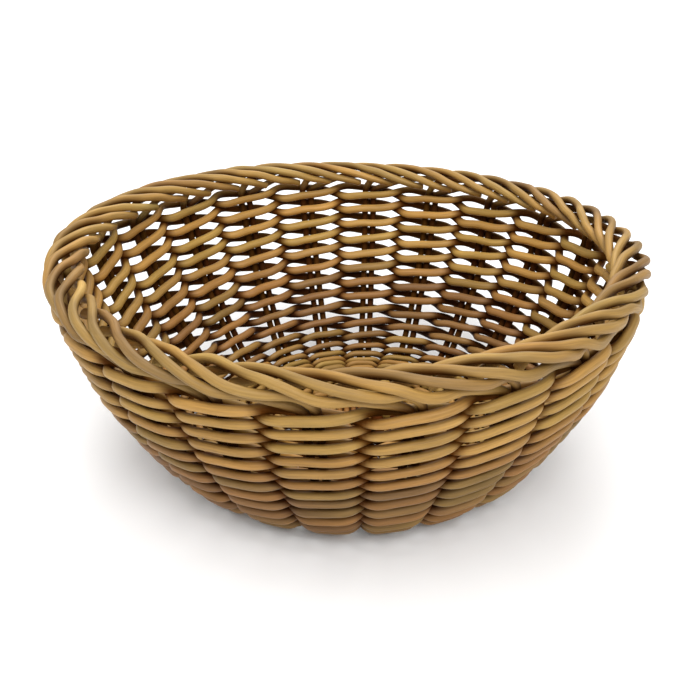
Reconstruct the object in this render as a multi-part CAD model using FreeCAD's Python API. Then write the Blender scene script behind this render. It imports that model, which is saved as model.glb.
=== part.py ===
import FreeCAD, Part
import os
from math import ceil, cos, floor, pi, radians, sin

# Round twined bread basket, in millimetres, +Z up.  The origin is the centre of the foot, on the table.
# Eleven base sticks cross at the centre and fan out into 22 spokes.  A pair of stakes is pushed in beside each
# spoke, runs out through the base, up the wall, and is laid down at the top as two strands of the border.
# Two weavers are twined round the spokes and stakes in one long spiral, from the base to the top of the wall.

# ---- driving dimensions ----
spokes = 22                    # spoke ends of the base, and so stake pairs in the wall
sticks_across = 5              # base sticks along X
sticks_through = 6             # base sticks along Y, which lie over the others at the centre

weaver_radius = 1.8            # on the base
wall_weaver_radius = 1.9       # the weavers reach this over the wall's first turn
stake_radius = 1.8
stick_radius = 1.7
clearance = 0.12               # gap between canes that lie against each other
pair_spacing = 4.8             # between the two stakes of a pair, in the wall

flat_radius = 75.0             # flat part of the base
crown = 2.2                    # how far the centre of the base stands above its edge
corner_radius = 26.0           # turn from the base into the wall
corner_angle = radians(36.0)
belly_radius = 84.0            # rounded lower part of the wall
belly_angle = radians(77.0)    # the wall's slope above the belly
wall_height = 92.0             # where the stakes leave the weave

first_turn = 18.6              # distance of the first turn of weaving from the centre
base_pitch = 7.5               # from one turn of the spiral to the next, on the base
wall_pitch = 8.24              # and on the wall
levelling = 2.4                # how far the top turn is packed down or eased up, to keep the rim level
tie_rows = 2                   # turns that go round whole arms of the cross
base_rows = 7                  # turns that go round single spokes
wall_rows = 12

stick_end = 66.0               # where the base sticks stop
stake_start = 60.5             # where the stakes begin, beside the sticks
border_radius = 131.35         # centre of the border's cross-section
border_height = 103.6
end_gap = 0.3                  # between the end of one turn's weaver and the start of the next
weaver_steps = 8               # control rings along a weaver, from one spoke to the next
stick_spacing = 3.0            # and along a base stick
stake_spacing = 2.2            # and along a stake
stake_rises = 32               # points given for a stake's line through the weave

# One strand of the border: (strand spacings travelled clockwise, outward from the border's centre, up from it)
strand_route = [
    (1.20, 6.9, 1.6),
    (1.77, 4.0, 3.3),
    (2.10, 1.3, 3.7),
    (2.60, -3.2, 3.4),
    (3.00, -5.7, 2.4),
    (3.40, -6.8, 0.6),
    (3.90, -6.5, -2.1),
    (4.25, -5.3, -4.0),
    (4.45, -4.4, -5.0),
]
# How each stake of a pair gets there from the top of the wall: where its strand starts, then points on the way
leaning_stake = (-1.25, [
    (-1.13, -1.0, -11.6),
    (-0.97, -0.8, -9.5),
    (-0.44, 1.4, -5.7),
    (0.00, 3.9, -3.6),
    (0.35, 5.7, -3.4),
    (0.72, 6.9, -2.0),
])
upright_stake = (-0.30, [
    (-0.39, -0.5, -9.6),
    (-0.27, 0.9, -6.0),
    (0.00, 3.6, -2.5),
    (0.35, 5.4, -2.2),
    (0.72, 6.9, -0.9),
])

# ---- values worked out from them ----
spoke_angle = 2 * pi / spokes
strand_angle = spoke_angle / 2
sides = 8                      # control points round a cane
cane_scale = 6 / (4 + 2 * cos(2 * pi / sides))   # brings a cubic spline's ring back out to its full radius
foot_height = stake_radius + 2 * weaver_radius + clearance
corner_start = flat_radius
belly_start = corner_start + corner_radius * corner_angle
upper_start = belly_start + belly_radius * (belly_angle - corner_angle)
spoke_radius = stick_radius + 0.25               # a base stick with its two stakes is wider, so needs more room


def profile(s):
    """Radius, height and slope of the stakes' line at the distance s along it from the centre of the base."""
    r = min(s, flat_radius)
    z = foot_height + crown * (1 - (r / flat_radius) ** 2) ** 2
    slope = 0.0
    if s > corner_start:
        slope = min((s - corner_start) / corner_radius, corner_angle)
        r += corner_radius * sin(slope)
        z += corner_radius * (1 - cos(slope))
    if s > belly_start:
        slope = min(corner_angle + (s - belly_start) / belly_radius, belly_angle)
        r += belly_radius * (sin(slope) - sin(corner_angle))
        z += belly_radius * (cos(corner_angle) - cos(slope))
    if s > upper_start:
        r += (s - upper_start) * cos(belly_angle)
        z += (s - upper_start) * sin(belly_angle)
    return r, z, slope


wall_top = upper_start + (wall_height - profile(upper_start)[1]) / sin(belly_angle)


def polar(angle, r, z):
    return FreeCAD.Vector(r * cos(angle), r * sin(angle), z)


def on_bowl(angle, s, outward=0.0, sideways=0.0):
    """A point at the distance s along the profile, moved out through the wall and along the circumference."""
    r, z, slope = profile(s)
    r, z = r + outward * sin(slope), z - outward * cos(slope)
    return FreeCAD.Vector(
        r * cos(angle) - sideways * sin(angle), r * sin(angle) + sideways * cos(angle), z
    )


def ease(x):
    """0 before 0, 1 after 1, and smooth between."""
    x = min(max(x, 0.0), 1.0)
    return x * x * (3 - 2 * x)


# ---- canes ----
def rings(points, radii):
    """A ring of control points round each point of a path, without twist from one ring to the next."""
    last = len(points) - 1
    side = None
    rows = []
    for i, point in enumerate(points):
        along = (points[min(i + 1, last)] - points[max(i - 1, 0)]).normalize()
        if side is None:
            up = FreeCAD.Vector(0, 0, 1) if abs(along.z) < 0.8 else FreeCAD.Vector(1, 0, 0)
            side = along.cross(up)
        side = (side - along * side.dot(along)).normalize()
        other = along.cross(side)
        reach = radii[i] * cane_scale
        turns = [2 * pi * k / sides for k in range(sides)]
        rows.append([point + (side * cos(turn) + other * sin(turn)) * reach for turn in turns])
    return rows


def cane(points, radii):
    """A closed round cane along a path: one spline surface, and a flat cut at each end."""
    spans = len(points) - 3
    surface = Part.BSplineSurface()
    surface.buildFromPolesMultsKnots(
        rings(points, radii),
        [4] + [1] * (spans - 1) + [4],
        [1] * (sides + 1),
        [float(k) for k in range(spans + 1)],
        [float(k) for k in range(sides + 1)],
        False,
        True,
        3,
        3,
    )
    skin = surface.toShape()
    ends = [e for e in skin.Edges if e.isClosed() and not e.isSeam(skin)]
    caps = [Part.Face(Part.Wire([e])) for e in ends]
    shell = Part.Shell([skin] + caps)
    shell.sewShape()
    solid = Part.Solid(shell)
    if solid.Volume < 0:
        solid.reverse()
    return solid


def smooth_path(points, spacing):
    """Evenly spaced points on a smooth curve through the given ones."""
    curve = Part.BSplineCurve()
    curve.interpolate(Points=points)
    return curve.discretize(Number=max(8, ceil(curve.length() / spacing)))


# ---- the weave ----
def side_of_stakes(phase):
    """1 outside a stake, -1 inside it, level while it passes the whole width of a pair."""
    c = cos(phase)
    return c * (35 - 35 * c**2 + 21 * c**4 - 5 * c**6) / 16


def spiral(turn):
    """Distance along the profile after that many turns, counted from the first row round single spokes."""
    opened = first_turn + tie_rows * base_pitch
    wall_turn = max(turn - base_rows, 0.0)
    level = levelling * wall_turn / wall_rows * sin(2 * pi * turn)
    return opened + base_pitch * min(turn, base_rows) + wall_pitch * wall_turn + level


def arm_phase(angle):
    """Phase of a weaver that goes round whole arms of the cross: half a wave in each corner between two arms."""
    corner_width = 1.7
    position = (angle / spoke_angle) % spokes
    corners = [sticks_across / 2, sticks_across / 2 + sticks_through]
    corners += [c + spokes / 2 for c in corners]
    whole = 4 * floor(angle / (2 * pi) + 1e-9)
    return pi * (whole + sum(ease((position - c) / corner_width + 0.5) for c in corners))


def girth(turn):
    """The weavers' radius after that many turns."""
    return weaver_radius + (wall_weaver_radius - weaver_radius) * ease(turn - base_rows)


def weaver(turn, second):
    """One turn of one of the two weavers."""
    steps = weaver_steps * spokes
    r = profile(spiral(turn))[0]
    gap = end_gap / (2 * pi * r)
    points, radii = [], []
    for k in range(steps + 1):
        t = turn + gap / 2 + (1 - gap) * k / steps
        angle = 2 * pi * t
        s = spiral(t)
        phase = arm_phase(angle) if turn < 0 else pi * angle / spoke_angle
        phase += pi * second
        core = spoke_radius + (stake_radius - spoke_radius) * ease((s - stick_end) / base_pitch)
        outward = (core + girth(t) + clearance) * side_of_stakes(phase)
        points.append(on_bowl(angle, s + (girth(t) + clearance) * sin(phase), outward))
        radii.append(girth(t))
    return cane(points, radii)


# ---- base sticks ----
def base_stick(place, along_y):
    """One straight stick of the cross, whose two ends fan out to the directions of their spokes."""
    fan_start = 0.74
    offset = place * 2 * (stick_radius + clearance)
    layer = (stick_radius + clearance) * (1 if along_y else -1)
    height = profile(0)[1]
    half = []
    for distance in (4.0, 10.0):
        half.append(FreeCAD.Vector(distance, offset, height + layer))
    for s in (16.5, 21.0, 28.0, 36.0, 46.0, 56.0, stick_end):
        opened = fan_start + (1 - fan_start) * ease((s - 12) / 22)
        half.append(on_bowl(place * spoke_angle * opened, s))
    other = [FreeCAD.Vector(-p.x, p.y, p.z) for p in reversed(half)]
    points = smooth_path(other + half, stick_spacing)
    if along_y:
        points = [FreeCAD.Vector(p.y, p.x, p.z) for p in points]
    return cane(points, [stick_radius] * len(points))


# ---- stakes and border ----
def border_point(angle, outward, up):
    return polar(angle, border_radius + outward, border_height + up)


def stake(number, side, lean):
    """One stake of a pair, from beside its spoke to the tucked end of its strand in the border."""
    start, gap_points = lean
    angle = number * spoke_angle
    beside = stick_radius + stake_radius + 2 * clearance
    together = pair_spacing / 2
    points = []
    for k in range(stake_rises):
        s = stake_start + (wall_top - stake_start) * k / stake_rises
        apart = beside + (together - beside) * ease((s - stick_end - 1) / 6)
        points.append(on_bowl(angle, s, 0.0, side * apart))
    strand_start = angle + start * strand_angle
    for travel, outward, up in gap_points + strand_route:
        points.append(border_point(strand_start - travel * strand_angle, outward, up))
    path = smooth_path(points, stake_spacing)
    return cane(path, [stake_radius] * len(path))


def build():
    """Every node's name and its solids."""
    nodes = {}
    number = 0
    for count, along_y in ((sticks_across, False), (sticks_through, True)):
        for k in range(count):
            number += 1
            nodes[f"base_stick_{number:02d}"] = [base_stick(k - (count - 1) / 2, along_y)]
    for turn in range(-tie_rows, base_rows + wall_rows):
        if turn < 0:
            name = f"base_tie_row_{turn + tie_rows + 1:02d}"
        elif turn < base_rows:
            name = f"base_row_{turn + 1:02d}"
        else:
            name = f"wall_row_{turn - base_rows + 1:02d}"
        nodes[name] = [weaver(turn, second) for second in (0, 1)]
    for number in range(spokes):
        nodes[f"stake_pair_{number + 1:02d}"] = [
            stake(number, -1, leaning_stake),
            stake(number, 1, upright_stake),
        ]
    return nodes


nodes = build()
foot = min(solid.BoundBox.ZMin for solids in nodes.values() for solid in solids)
os.makedirs("parts", exist_ok=True)
for name, solids in nodes.items():
    for solid in solids:
        solid.translate(FreeCAD.Vector(0, 0, -foot))
    shape = Part.makeCompound(solids) if len(solids) > 1 else solids[0]
    shape.exportStep(f"parts/{name}.step")
    print(name, "volume", [round(solid.Volume) for solid in solids], "valid", shape.isValid())
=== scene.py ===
from math import ceil, cos, pi, radians, sin

import bpy
import numpy as np
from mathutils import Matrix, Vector


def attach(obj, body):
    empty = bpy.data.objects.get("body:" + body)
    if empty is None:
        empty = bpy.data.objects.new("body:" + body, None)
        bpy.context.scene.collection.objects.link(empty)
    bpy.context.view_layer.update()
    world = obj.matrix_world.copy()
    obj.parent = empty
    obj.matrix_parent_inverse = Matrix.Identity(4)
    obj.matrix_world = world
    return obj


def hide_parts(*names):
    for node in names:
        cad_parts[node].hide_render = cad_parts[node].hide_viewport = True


# The basket's canes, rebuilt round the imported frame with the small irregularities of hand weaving.
# Lengths are in millimetres until a mesh is made; the frame is in metres.
# Angles run anticlockwise seen from above, from +X.

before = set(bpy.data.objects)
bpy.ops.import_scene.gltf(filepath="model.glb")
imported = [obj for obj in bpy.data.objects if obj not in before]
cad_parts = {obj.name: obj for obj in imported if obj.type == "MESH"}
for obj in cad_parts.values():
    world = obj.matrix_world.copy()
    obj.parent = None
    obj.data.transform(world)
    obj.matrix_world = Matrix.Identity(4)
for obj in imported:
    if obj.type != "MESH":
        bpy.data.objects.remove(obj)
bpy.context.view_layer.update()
METRE = 0.001
rng = np.random.default_rng(7)

# ---- the design's driving dimensions, as in the CAD source except for the wall weavers' radius ----
spokes = 22
sticks_across = 5
sticks_through = 6
weaver_radius = 1.8
wall_weaver_radius = 2.02
stake_radius = 1.8
stick_radius = 1.7
spoke_room = 0.25
clearance = 0.12
pair_spacing = 4.8
flat_radius = 75.0
crown = 2.2
corner_radius = 26.0
corner_angle = radians(36.0)
belly_radius = 84.0
belly_angle = radians(77.0)
wall_height = 92.0
first_turn = 18.6
base_pitch = 7.5
wall_pitch = 8.24
levelling = 2.4
tie_rows = 2
base_rows = 7
wall_rows = 12
stick_end = 66.0
stake_start = 60.5
border_radius = 131.35
border_height = 103.6

strand_route = [
    (1.20, 6.9, 1.6),
    (1.77, 4.0, 3.3),
    (2.10, 1.3, 3.7),
    (2.60, -3.2, 3.4),
    (3.00, -5.7, 2.4),
    (3.40, -6.8, 0.6),
    (3.90, -6.5, -2.1),
    (4.25, -5.3, -4.0),
    (4.45, -4.4, -5.0),
]
leaning_stake = (-1.25, [
    (-1.13, -1.0, -11.6),
    (-0.97, -0.8, -9.5),
    (-0.44, 1.4, -5.7),
    (0.00, 3.9, -3.6),
    (0.35, 5.7, -3.4),
    (0.72, 6.9, -2.0),
])
upright_stake = (-0.30, [
    (-0.39, -0.5, -9.6),
    (-0.27, 0.9, -6.0),
    (0.00, 3.6, -2.5),
    (0.35, 5.4, -2.2),
    (0.72, 6.9, -0.9),
])

# ---- how the woven basket departs from the drawn one ----
rows_rise = 3.2  # how much farther up the wall its rows lie,
rise_turns = 5  # a rise that grows over this many turns,
end_tuck = 0.30  # and that the last turn loses again in this last part of it
weave_tilt = 1.7  # how far outside floats lie above their row, and inside floats below it,
tilt_turns = 4  # which also grows over this many turns
foot_shift = 2.0  # how far the foot stands to one side of the rim's centre
# Heights, and how far out (or in, where negative) the wall is pulled there, outside the radius pull_start.
pull_curve = (
    (0.0, 10.0, 20.0, 30.0, 40.0, 50.0, 60.0, 70.0, 80.0, 90.0, 96.0, 101.0),
    (-1.0, -3.2, -5.0, -6.2, -6.0, -4.0, -1.5, -0.1, 1.0, 2.4, 1.6, 0.0),
)
pull_start, pull_full = 60.0, 74.0
# The rim's shares of being oval and three-sided, and how far it rises and falls.
rim_oval = 0.010
rim_lobe = 0.003
rim_lobe_turn = 0.7
rim_wave = 1.8
rim_wave_turn = radians(45.0)

# ---- values worked out from them ----
spoke_angle = 2 * pi / spokes
strand_angle = spoke_angle / 2
foot_height = stake_radius + 2 * weaver_radius + clearance
corner_start = flat_radius
belly_start = corner_start + corner_radius * corner_angle
upper_start = belly_start + belly_radius * (belly_angle - corner_angle)
spoke_radius = stick_radius + spoke_room


# ---- the bowl's shape ----
def profile(s):
    """Radius, height and slope of the stakes' line, at the distances s along it from the base's centre."""
    s = np.asarray(s, float)
    r = np.minimum(s, flat_radius)
    z = foot_height + crown * (1 - (r / flat_radius) ** 2) ** 2
    corner = np.clip((s - corner_start) / corner_radius, 0, corner_angle)
    belly = np.clip((s - belly_start) / belly_radius, 0, belly_angle - corner_angle) + corner_angle
    rest = np.maximum(s - upper_start, 0)
    r = r + corner_radius * np.sin(corner) + belly_radius * (np.sin(belly) - sin(corner_angle))
    z = z + corner_radius * (1 - np.cos(corner))
    z = z + belly_radius * (cos(corner_angle) - np.cos(belly))
    slope = np.where(s > belly_start, belly, corner)
    return r + rest * cos(belly_angle), z + rest * sin(belly_angle), slope


wall_top = float(upper_start + (wall_height - profile(upper_start)[1]) / sin(belly_angle))


def on_bowl(angle, s, outward=0.0, sideways=0.0):
    """Points at the distance s along the profile, moved out through the wall and along the round."""
    r, z, slope = profile(s)
    r, z = r + outward * np.sin(slope), z - outward * np.cos(slope)
    x = r * np.cos(angle) - sideways * np.sin(angle)
    y = r * np.sin(angle) + sideways * np.cos(angle)
    return np.stack(np.broadcast_arrays(x, y, z), axis=-1)


def outward_normal(angle, s):
    """The direction out of the wall, or down out of the base."""
    slope = profile(s)[2]
    across = np.sin(slope)
    return np.stack([across * np.cos(angle), across * np.sin(angle), -np.cos(slope)], axis=-1)


def ease(x):
    """0 up to 0, 1 from 1 on, and a smooth step between."""
    x = np.clip(x, 0.0, 1.0)
    return x * x * (3 - 2 * x)


def settle(points):
    """Moves points of the drawn bowl to the woven one: straighter sides, a lean, an uneven rim."""
    x, y, z = points.T
    angle = np.arctan2(y, x)
    r = np.maximum(np.hypot(x, y), 1.0)
    lift = np.clip(z / border_height, 0, 1.1) ** 2
    pulled = np.interp(z, *pull_curve) * ease((r - pull_start) / (pull_full - pull_start))
    untrue = rim_oval * np.cos(2 * angle) + rim_lobe * np.cos(3 * angle + rim_lobe_turn)
    stretch = 1 + pulled / r - lift * untrue
    lean = foot_shift * (1 - np.clip(z / border_height, 0, 1))
    rise = lift * rim_wave * np.cos(2 * angle + rim_wave_turn)
    return np.stack([x * stretch + lean, y * stretch, z + rise], axis=-1)


def grain_seed():
    """Where in the grain's noise a cane lies, so that no two canes look the same."""
    return rng.uniform(-400, 400, 2)


# ---- painted shade deep between canes and painted light on the wall's inside; where canes lie open or hidden, in millimetres and in shares of the border's thickness ----
wall_shade_depth, wall_shade_fade = 1.7, 3.2
border_half_width, border_half_height = 8.7, 6.9
border_shade_part, border_shade_fade = 0.42, 0.50
border_bottom = wall_height + 1.0
border_overlap = 4.0
inside_depth = 3.0
# painted shade: the colour that canes deep between canes and inside the border's roll are darkened towards
painted_crevice_shade = np.array([0.22, 0.125, 0.075])  # what is left of red, green and blue deep between canes
# painted light: canes on the wall's inside are drawn up to this much lighter
inside_painted_light = 0.30


# ---- canes ----
def drift(u, knots):
    """The knots' smooth curve at the places u, which run from 0 to 1."""
    place = u * (len(knots) - 1.001)
    k = np.floor(place).astype(int)
    f = ease(place - k)
    return knots[k] * (1 - f) + knots[k + 1] * f


def smooth_path(points, spacing):
    """Evenly spaced points on the natural cubic curve through the given ones."""
    p = np.asarray(points, float)
    chord = np.linalg.norm(np.diff(p, axis=0), axis=1)
    t = np.concatenate([[0], np.cumsum(chord)])
    n = len(p)
    a = np.zeros((n, n))
    b = np.zeros((n, 3))
    a[0, 0] = a[-1, -1] = 1
    for i in range(1, n - 1):
        a[i, i - 1 : i + 2] = chord[i - 1], 2 * (chord[i - 1] + chord[i]), chord[i]
        b[i] = 6 * ((p[i + 1] - p[i]) / chord[i] - (p[i] - p[i - 1]) / chord[i - 1])
    m = np.linalg.solve(a, b)
    u = np.linspace(0, t[-1], max(8, ceil(t[-1] / spacing)))
    k = np.clip(np.searchsorted(t, u, side="right") - 1, 0, n - 2)
    h, left, right = chord[k], u - t[k], t[k + 1] - u
    h, left, right = h[:, None], left[:, None], right[:, None]
    curve = (m[k] * right**3 + m[k + 1] * left**3) / (6 * h)
    return curve + (p[k] / h - m[k] * h / 6) * right + (p[k + 1] / h - m[k + 1] * h / 6) * left


def unit(v):
    return v / np.linalg.norm(v, axis=-1, keepdims=True)


def carried_sides(along):
    """A side direction at each point, carried along the path without twisting."""
    side = np.cross(along[0], (0, 0, 1) if abs(along[0][2]) < 0.8 else (1, 0, 0))
    sides = []
    for direction in along:
        side = unit(side - direction * side.dot(direction))
        sides.append(side)
    return np.array(sides)


def depth_in_wall(r, z):
    """Distance of a point outward (positive) or inward from the stakes' line."""
    bend_z = foot_height + corner_radius
    belly_r = corner_start + (corner_radius - belly_radius) * sin(corner_angle)
    belly_z = bend_z + (belly_radius - corner_radius) * cos(corner_angle)
    about_belly = np.arctan2(r - belly_r, belly_z - z)
    straight = (r - belly_r) * sin(belly_angle) - (z - belly_z) * cos(belly_angle) - belly_radius
    belly = np.hypot(r - belly_r, z - belly_z) - belly_radius
    bend = np.hypot(r - corner_start, z - bend_z) - corner_radius
    base = profile(np.minimum(r, corner_start))[1] - z
    parts = [about_belly > belly_angle, about_belly > corner_angle, r > corner_start]
    return np.select(parts, [straight, belly, bend], base)


def wall_place(points):
    """Radius and height of points."""
    return np.hypot(points[..., 0], points[..., 1]), points[..., 2]


def unshaded_share(points):
    """Painted-shade mask: 0 for a surface hidden deep between canes, where the shade is painted darkest, 1
    for one that faces out of the wall or the border.
    """
    r, z = wall_place(points)
    wall = ease((np.abs(depth_in_wall(r, z)) - wall_shade_depth) / wall_shade_fade)
    section = np.hypot((r - border_radius) / border_half_width, (z - border_height) / border_half_height)
    border = ease((section - border_shade_part) / border_shade_fade)
    above = ease((z - border_bottom) / border_overlap)
    return wall * (1 - above) + border * above


class Canes:
    """Collects round canes and makes one mesh of them."""

    around = 14
    bevel = 0.22

    def __init__(self):
        self.points, self.faces, self.grain, self.tint = [], [], [], []
        self.count = 0

    def add(self, path, radius, tint, sides=None, start_along=0.0, seed=(0.0, 0.0), cut=(True, True)):
        """One cane. tint is a colour per path point, and cut says which ends are bevelled flat cuts."""
        path = np.asarray(path, float)
        along = unit(np.gradient(path, axis=0))
        if sides is None:
            side = carried_sides(along)
        else:
            side = unit(sides - along * np.sum(sides * along, 1)[:, None])
        other = np.cross(along, side)
        turn = np.linspace(0, 2 * pi, self.around, endpoint=False)
        across, up = np.cos(turn)[None, :], np.sin(turn)[None, :]
        ring = side[:, None, :] * across[..., None] + other[:, None, :] * up[..., None]
        radius = np.broadcast_to(radius, len(path)).astype(float)
        step = np.linalg.norm(np.diff(path, axis=0), axis=1)
        reach = np.concatenate([[0], np.cumsum(step)]) + start_along

        def section(i, beyond=0.0):
            """The cane's ring at path point i, or the smaller ring of a bevelled end just beyond it."""
            centre = path[i] + along[i] * beyond * radius[i]
            return centre, ring[i], radius[i] * (1 - abs(beyond)), reach[i], tint[i]

        rows = [section(i) for i in range(len(path))]
        if cut[0]:
            rows.insert(0, section(0, -self.bevel))
        if cut[1]:
            rows.append(section(-1, self.bevel))
        centres, rings, radii, lengths, colours = (np.array(column) for column in zip(*rows))
        n, m = len(rows), self.around
        body = centres[:, None, :] + rings * radii[:, None, None]
        grain = np.empty((n, m, 3))
        grain[..., 0] = across * weaver_radius + seed[0]
        grain[..., 1] = up * weaver_radius + seed[1]
        grain[..., 2] = lengths[:, None]
        # Painted shade: the colour is darkened towards the crevice colour where a cane lies deep between
        # canes or inside the border's roll; the unshaded share also goes in the alpha.
        unshaded = unshaded_share(body)[..., None]
        # Painted light: the canes inside the stakes' line are made lighter.
        inside = ease(-depth_in_wall(*wall_place(body)) / inside_depth)[..., None]
        colour = colours[:, None, :] * (painted_crevice_shade + (1 - painted_crevice_shade) * unshaded) * (1 + inside_painted_light * inside)
        self.add_faces(n, m)
        self.points.append(settle(body.reshape(-1, 3)))
        self.grain.append(grain.reshape(-1, 3))
        self.tint.append(np.concatenate([colour, unshaded], axis=-1).reshape(-1, 4))
        self.count += n * m

    def add_faces(self, n, m):
        """The faces between n rings of m points, and a cap on each end."""
        first = self.count
        i = np.arange(n - 1)[:, None] * m
        j = np.arange(m)[None, :]
        nxt = (j + 1) % m
        quads = np.stack([i + j, i + nxt, i + m + nxt, i + m + j], axis=-1).reshape(-1, 4) + first
        self.faces.extend(quads.tolist())
        self.faces.append(list(range(first + m - 1, first - 1, -1)))
        self.faces.append(list(range(first + (n - 1) * m, first + n * m)))

    def piece(self, name, material, slot, node):
        """The collected canes as one object that stands for a CAD node."""
        mesh = bpy.data.meshes.new(name)
        points = np.concatenate(self.points) * METRE
        mesh.from_pydata(points.tolist(), [], self.faces)
        mesh.polygons.foreach_set("use_smooth", np.ones(len(mesh.polygons), bool))
        grain = mesh.attributes.new("grain", "FLOAT_VECTOR", "POINT")
        grain.data.foreach_set("vector", (np.concatenate(self.grain)).astype(np.float32).ravel())
        rgba = np.concatenate(self.tint)
        tint = mesh.attributes.new("tint", "FLOAT_COLOR", "POINT")
        tint.data.foreach_set("color", rgba.astype(np.float32).ravel())
        mesh.materials.append(material)
        mesh.update()
        piece = bpy.data.objects.new(name, mesh)
        bpy.context.scene.collection.objects.link(piece)
        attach(piece, "root")
        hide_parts(node)
        return piece


# ---- colour ----
# How much of each colour channel the surface gives back, so that the lit canes look as the colours below.
finish_level = np.array([0.68, 0.585, 0.385])


def linear(red, green, blue):
    """A cane colour as it should look in the light, 0 to 255, as the surface's own linear values."""
    c = np.array([red, green, blue]) / 255
    return finish_level * np.where(c <= 0.04045, c / 12.92, ((c + 0.055) / 1.055) ** 2.4)


tan = linear(196, 162, 102)
straw = linear(208, 176, 112)
olive = linear(170, 150, 84)
mauve = linear(146, 112, 80)
russet = linear(150, 106, 66)
amber = linear(184, 138, 76)
ochre = linear(166, 136, 86)


def mix(a, b, share):
    share = np.asarray(share)[..., None]
    return a * (1 - share) + b * share


level_knots, warm_knots = 9, 7
depth_spread, warm_spread = 0.10, 0.04


def cane_tint(base, length_share):
    """A cane's own colour along its length: its base colour, drifting a little in depth and in warmth."""
    n = len(length_share)
    level = 1 + drift(length_share, rng.normal(0, depth_spread, level_knots))
    warm = drift(length_share, rng.normal(0, warm_spread, warm_knots))
    colour = np.broadcast_to(base, (n, 3)) * level[:, None]
    return colour * np.stack([1 + warm, np.ones(n), 1 - warm], axis=-1)


# ---- materials ----
def cane_material(name):
    """Round cane: fine lengthwise fibres, soft mottling, and a dull satin surface, its reflections turned
    down between canes as painted shade.
    """
    material = bpy.data.materials.new(name)
    material.use_nodes = True
    nodes, links = material.node_tree.nodes, material.node_tree.links
    shader = nodes["Principled BSDF"]
    grain = nodes.new("ShaderNodeAttribute")
    grain.attribute_name = "grain"
    tint = nodes.new("ShaderNodeAttribute")
    tint.attribute_name = "tint"

    def noise(stretch, scale, detail):
        """Noise drawn out along the cane; stretch scales the lengthwise coordinate."""
        mapping = nodes.new("ShaderNodeMapping")
        mapping.inputs["Scale"].default_value = (1.0, 1.0, stretch)
        links.new(grain.outputs["Vector"], mapping.inputs["Vector"])
        texture = nodes.new("ShaderNodeTexNoise")
        texture.inputs["Scale"].default_value = scale
        texture.inputs["Detail"].default_value = detail
        texture.inputs["Roughness"].default_value = 0.6
        links.new(mapping.outputs["Vector"], texture.inputs["Vector"])
        return texture.outputs["Fac"]

    def spread(value, low, high, start=0.25, end=0.75):
        """The value, brought from the range start to end to the range from low to high."""
        remap = nodes.new("ShaderNodeMapRange")
        remap.inputs["From Min"].default_value = start
        remap.inputs["From Max"].default_value = end
        remap.inputs["To Min"].default_value = low
        remap.inputs["To Max"].default_value = high
        links.new(value, remap.inputs["Value"])
        return remap.outputs["Result"]

    def times(a, b):
        product = nodes.new("ShaderNodeMath")
        product.operation = "MULTIPLY"
        links.new(a, product.inputs[0])
        links.new(b, product.inputs[1])
        return product.outputs["Value"]

    fibres = noise(0.035, 1.9, 5.0)
    mottle = noise(0.10, 0.42, 3.0)
    level = times(spread(fibres, 0.78, 1.2), spread(mottle, 0.84, 1.14))
    scaled = nodes.new("ShaderNodeVectorMath")
    scaled.operation = "SCALE"
    links.new(tint.outputs["Color"], scaled.inputs[0])
    links.new(level, scaled.inputs["Scale"])
    links.new(scaled.outputs["Vector"], shader.inputs["Base Color"])
    links.new(spread(fibres, 0.62, 0.46), shader.inputs["Roughness"])
    # painted shade on the reflections: the specular level is turned down where the alpha marks a cane deep
    # between canes
    sheen = spread(tint.outputs["Alpha"], 0.02, 0.35, 0.0, 1.0)
    links.new(sheen, shader.inputs["Specular IOR Level"])
    bump = nodes.new("ShaderNodeBump")
    bump.inputs["Strength"].default_value = 0.35
    bump.inputs["Distance"].default_value = 0.00025
    links.new(fibres, bump.inputs["Height"])
    links.new(bump.outputs["Normal"], shader.inputs["Normal"])
    return material


weaver_cane = cane_material("weaver_cane")
stake_cane = cane_material("stake_cane")
base_cane = cane_material("base_cane")


# ---- the weave ----
# The weavers' unevenness: how strong each kind is, and how often it changes in one turn.
lift_spread, lift_changes = 0.34, 2 * spokes
girth_spread, girth_changes = 0.035, 12
level_spread, level_changes = 0.10, 9
hue_spread, hue_changes = 1.0, 5
spare_knots = 4
swing_mild, swing_sharp = 0.4, 0.6  # how a weaver moves up and down past a stake: evenly, and late
wall_swell = 0.06  # the wall's canes are this much thicker than the room that they leave each other
hue_strength = 0.45
grain_per_turn = 400.0
coarse_steps, fine_steps = 16, 26  # path points from one spoke to the next, in the base and in the wall


def side_of_stakes(phase):
    """1 outside a stake, -1 inside it, level while it passes the whole width of a pair."""
    c = np.cos(phase)
    return c * (35 - 35 * c**2 + 21 * c**4 - 5 * c**6) / 16


def spiral(turn):
    """Distance along the profile after that many turns, counted from the first row round single spokes."""
    opened = first_turn + tie_rows * base_pitch
    wall_turn = np.maximum(turn - base_rows, 0.0)
    level = levelling * wall_turn / wall_rows * np.sin(2 * pi * turn)
    tucked = ease((wall_turn - wall_rows + end_tuck) / end_tuck)
    risen = rows_rise * ease(wall_turn / rise_turns) * (1 - tucked)
    return opened + base_pitch * np.minimum(turn, base_rows) + wall_pitch * wall_turn + level + risen


def arm_phase(angle):
    """Phase of a weaver round the whole arms of the cross: half a wave in each corner between two arms."""
    corner_width = 1.7
    position = (angle / spoke_angle) % spokes
    corners = [sticks_across / 2, sticks_across / 2 + sticks_through]
    corners += [c + spokes / 2 for c in corners]
    whole = 4 * np.floor(angle / (2 * pi) + 1e-9)
    return pi * (whole + sum(ease((position - c) / corner_width + 0.5) for c in corners))


def girth(turn):
    """The weavers' radius after that many turns."""
    return weaver_radius + (wall_weaver_radius - weaver_radius) * ease(turn - base_rows)


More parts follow.
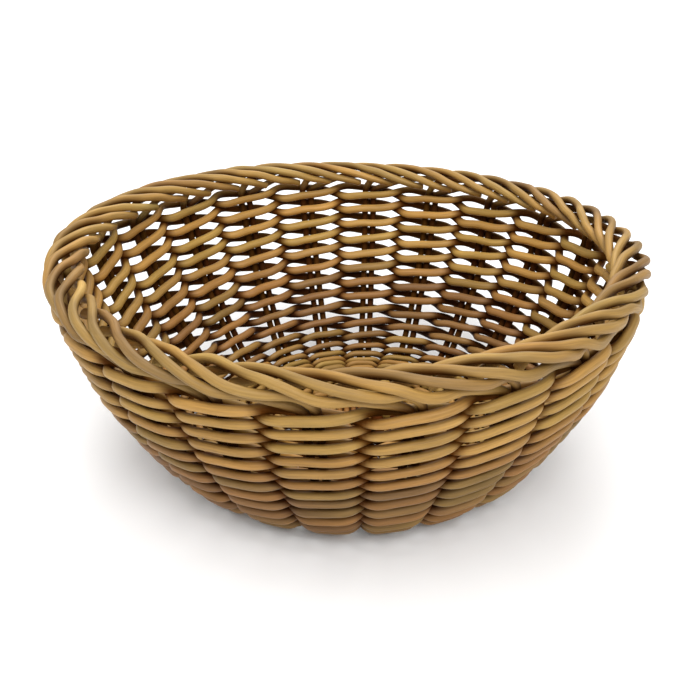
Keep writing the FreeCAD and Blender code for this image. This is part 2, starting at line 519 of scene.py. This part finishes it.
class Weaver:
    """One of the two weavers, by the number of turns. Its wander and colour run on from row to row."""

    def __init__(self, second):
        self.second = second
        total = tie_rows + base_rows + wall_rows
        self.lift = rng.normal(0, lift_spread, total * lift_changes + spare_knots)
        self.girth = rng.normal(0, girth_spread, total * girth_changes + spare_knots)
        self.level = rng.normal(0, level_spread, total * level_changes + spare_knots)
        self.hue = rng.normal(0, hue_spread, total * hue_changes + spare_knots)
        self.seed = grain_seed()

    def share(self, turn):
        """Which part of the weaver's whole length lies behind it."""
        return (turn + tie_rows) / (tie_rows + base_rows + wall_rows)

    def centre(self, turn):
        """The cane's centre line, and the wall's outward direction beside it."""
        angle = 2 * pi * turn
        s = spiral(turn)
        phase = np.where(turn < 0, arm_phase(angle), pi * angle / spoke_angle) + pi * self.second
        core = spoke_radius + (stake_radius - spoke_radius) * ease((s - stick_end) / base_pitch)
        outward = (core + girth(turn) + clearance) * side_of_stakes(phase)
        swing = np.sin(phase) * (swing_mild + swing_sharp * np.sin(phase) ** 2)
        s = s + (girth(turn) + clearance) * swing + drift(self.share(turn), self.lift)
        s = s + weave_tilt * ease((turn - base_rows) / tilt_turns) * side_of_stakes(phase)
        return on_bowl(angle, s, outward), outward_normal(angle, s)

    def radius(self, turn):
        swell = wall_swell * ease(turn - base_rows)
        return girth(turn) * (1 + swell + drift(self.share(turn), self.girth))

    def tint(self, turn):
        """Ochre on the base, mauve low on the wall and tan above, with olive and amber stretches."""
        share = self.share(turn)
        s = spiral(turn)
        up = (s - corner_start) / (wall_top - corner_start)
        low = mix(ochre, mauve, ease((up + 0.05) * 4))
        colour = mix(low, tan, ease((up - 0.50) * 3.2))
        hue = drift(share, self.hue)
        colour = mix(colour, olive, hue_strength * np.clip(hue, 0, 1))
        colour = mix(colour, amber, hue_strength * np.clip(-hue, 0, 1))
        return colour * (1 + drift(share, self.level))[:, None]


def weave_row(name, turn, weavers):
    """One turn of both weavers."""
    canes = Canes()
    steps = spokes * (fine_steps if turn >= base_rows else coarse_steps)
    turns = turn + np.arange(steps + 1) / steps
    first, last = turn == -tie_rows, turn == base_rows + wall_rows - 1
    for weaver in weavers:
        centre, normal = weaver.centre(turns)
        canes.add(
            centre,
            weaver.radius(turns),
            weaver.tint(turns),
            sides=normal,
            start_along=turn * grain_per_turn,
            seed=weaver.seed,
            cut=(first, last),
        )
    canes.piece(name + "_canes", weaver_cane, "weavers", name)


# ---- base sticks ----
fan_start = 0.74  # the share of their spokes' spread that the sticks have inside the cross
fan_from, fan_over = 12, 22
straight_part = (4.0, 10.0)
fanned_part = (16.5, 21.0, 28.0, 36.0, 46.0, 56.0, stick_end)
stick_unevenness = 0.02


def base_stick(name, place, along_y):
    """One straight stick of the cross, whose two ends fan out to the directions of their spokes."""
    offset = place * 2 * (stick_radius + clearance)
    layer = (stick_radius + clearance) * (1 if along_y else -1)
    height = float(profile(0)[1])
    half = [(distance, offset, height + layer) for distance in straight_part]
    for s in fanned_part:
        opened = fan_start + (1 - fan_start) * float(ease((s - fan_from) / fan_over))
        half.append(tuple(on_bowl(place * spoke_angle * opened, s)))
    points = [(-x, y, z) for x, y, z in reversed(half)] + half
    if along_y:
        points = [(y, x, z) for x, y, z in points]
    path = smooth_path(points, 2.0)
    share = np.linspace(0, 1, len(path))
    base = mix(russet, amber, rng.uniform(0.2, 0.9))
    radius = stick_radius * (1 + drift(share, rng.normal(0, stick_unevenness, 8)))
    tint = cane_tint(base, share)
    canes = Canes()
    canes.add(path, radius, tint, seed=grain_seed())
    canes.piece(name + "_cane", base_cane, "base_sticks", name)


# ---- stakes and border ----
stake_rises = 32
parting_after, parting_over = 1, 6  # where the two stakes of a pair move apart, from the sticks' ends on
loose_from, loose_over = -0.5, 1.2  # where a strand starts to wander, in strand spacings
strand_slip = 0.05
strand_wander = 0.22
border_light_from, border_light_rate = 0.86, 8
border_level = 0.80
border_swell = 0.13
dull_strands = 0.28
stake_unevenness = 0.03


def stake(canes, number, side, lean):
    """One stake of a pair, from beside its spoke to the tucked end of its strand in the border."""
    start, gap_points = lean
    angle = number * spoke_angle
    beside = stick_radius + stake_radius + 2 * clearance
    together = pair_spacing / 2
    points = []
    for k in range(stake_rises):
        s = stake_start + (wall_top - stake_start) * k / stake_rises
        parted = float(ease((s - stick_end - parting_after) / parting_over))
        apart = beside + (together - beside) * parted
        points.append(on_bowl(angle, s, 0.0, side * apart))
    strand_start = angle + start * strand_angle
    slip = rng.normal(0, strand_slip)
    for travel, outward, up in gap_points + strand_route:
        loose = float(ease((travel - loose_from) / loose_over))
        there = strand_start - (travel + slip * loose) * strand_angle
        r = border_radius + outward + rng.normal(0, strand_wander) * loose
        z = border_height + up + rng.normal(0, strand_wander) * loose
        points.append((r * cos(there), r * sin(there), z))
    path = smooth_path(points, 1.4)
    share = np.linspace(0, 1, len(path))
    light = ease((path[:, 2] / border_height - border_light_from) * border_light_rate)
    low = mix(mauve, olive, rng.uniform(0, 1))
    top = mix(mix(tan, straw, rng.uniform(0, 1)), mauve, max(0.0, rng.normal(0.0, dull_strands)))
    tint = cane_tint(mix(low, top * border_level, light), share)
    radius = stake_radius * (1 + border_swell * light + drift(share, rng.normal(0, stake_unevenness, 16)))
    canes.add(path, radius, tint, seed=grain_seed())


def stake_pair(name, number):
    """The two stakes beside one spoke."""
    canes = Canes()
    stake(canes, number, -1, leaning_stake)
    stake(canes, number, 1, upright_stake)
    canes.piece(name + "_canes", stake_cane, "stakes", name)


# ---- build ----
number = 0
for count, along_y in ((sticks_across, False), (sticks_through, True)):
    for k in range(count):
        number += 1
        base_stick(f"base_stick_{number:02d}", k - (count - 1) / 2, along_y)

weavers = [Weaver(0), Weaver(1)]
for turn in range(-tie_rows, base_rows + wall_rows):
    if turn < 0:
        weave_row(f"base_tie_row_{turn + tie_rows + 1:02d}", turn, weavers)
    elif turn < base_rows:
        weave_row(f"base_row_{turn + 1:02d}", turn, weavers)
    else:
        weave_row(f"wall_row_{turn - base_rows + 1:02d}", turn, weavers)

for number in range(spokes):
    stake_pair(f"stake_pair_{number + 1:02d}", number)


# ---- floor, light and camera ----
def lay_floor():
    """A pale matt floor, wide enough to fill the view."""
    size = 6.0
    pale = bpy.data.materials.new("pale_floor")
    pale.use_nodes = True
    shader = pale.node_tree.nodes["Principled BSDF"]
    shader.inputs["Base Color"].default_value = (0.93, 0.93, 0.93, 1)
    shader.inputs["Roughness"].default_value = 0.9
    mesh = bpy.data.meshes.new("floor")
    corners = [(-size, -size, 0), (size, -size, 0), (size, size, 0), (-size, size, 0)]
    mesh.from_pydata(corners, [], [(0, 1, 2, 3)])
    mesh.materials.append(pale)
    plane = bpy.data.objects.new("floor", mesh)
    bpy.context.scene.collection.objects.link(plane)


def soft_light(name, location, aim, size, power):
    """A square lamp that points at the aim. Lengths are in metres and the power in watts."""
    light = bpy.data.lights.new(name, "AREA")
    light.energy = power
    light.size = size
    lamp = bpy.data.objects.new(name, light)
    lamp.location = location
    lamp.rotation_euler = (Vector(aim) - Vector(location)).to_track_quat("-Z", "Y").to_euler()
    bpy.context.scene.collection.objects.link(lamp)


def light_studio():
    """A high key, a lamp for the floor behind, a front fill that reaches into the bowl, and a pale world."""
    basket = (0, 0, 0.05)
    floor_behind = (0, 2.0, 0)
    soft_light("key", (-0.9, -0.9, 3.2), basket, size=2.8, power=54)
    soft_light("back", (0.6, 3.4, 3.4), floor_behind, size=2.5, power=90)
    soft_light("fill", (0.5, -2.2, 2.5), basket, size=1.6, power=56)
    world = bpy.data.worlds.new("studio")
    world.use_nodes = True
    surroundings = world.node_tree.nodes["Background"]
    surroundings.inputs["Color"].default_value = (1, 1, 1, 1)
    surroundings.inputs["Strength"].default_value = 0.66
    bpy.context.scene.world = world
    bpy.context.scene.view_settings.view_transform = "Standard"


def place_camera():
    """A camera that looks down into the basket from the front. Lengths are in metres."""
    distance = 0.490
    elevation = radians(26.6)
    turn = radians(-2.7)
    back = Vector((sin(turn) * cos(elevation), -cos(turn) * cos(elevation), sin(elevation)))
    target = Vector((0.0013, 0.0, 0.0501))
    data = bpy.data.cameras.new("camera")
    data.sensor_width = 36.0
    data.lens = 50.55
    eye = bpy.data.objects.new("camera", data)
    eye.location = target + back * distance
    eye.rotation_euler = (-back).to_track_quat("-Z", "Y").to_euler()
    bpy.context.scene.collection.objects.link(eye)
    bpy.context.scene.camera = eye


lay_floor()
light_studio()
place_camera()
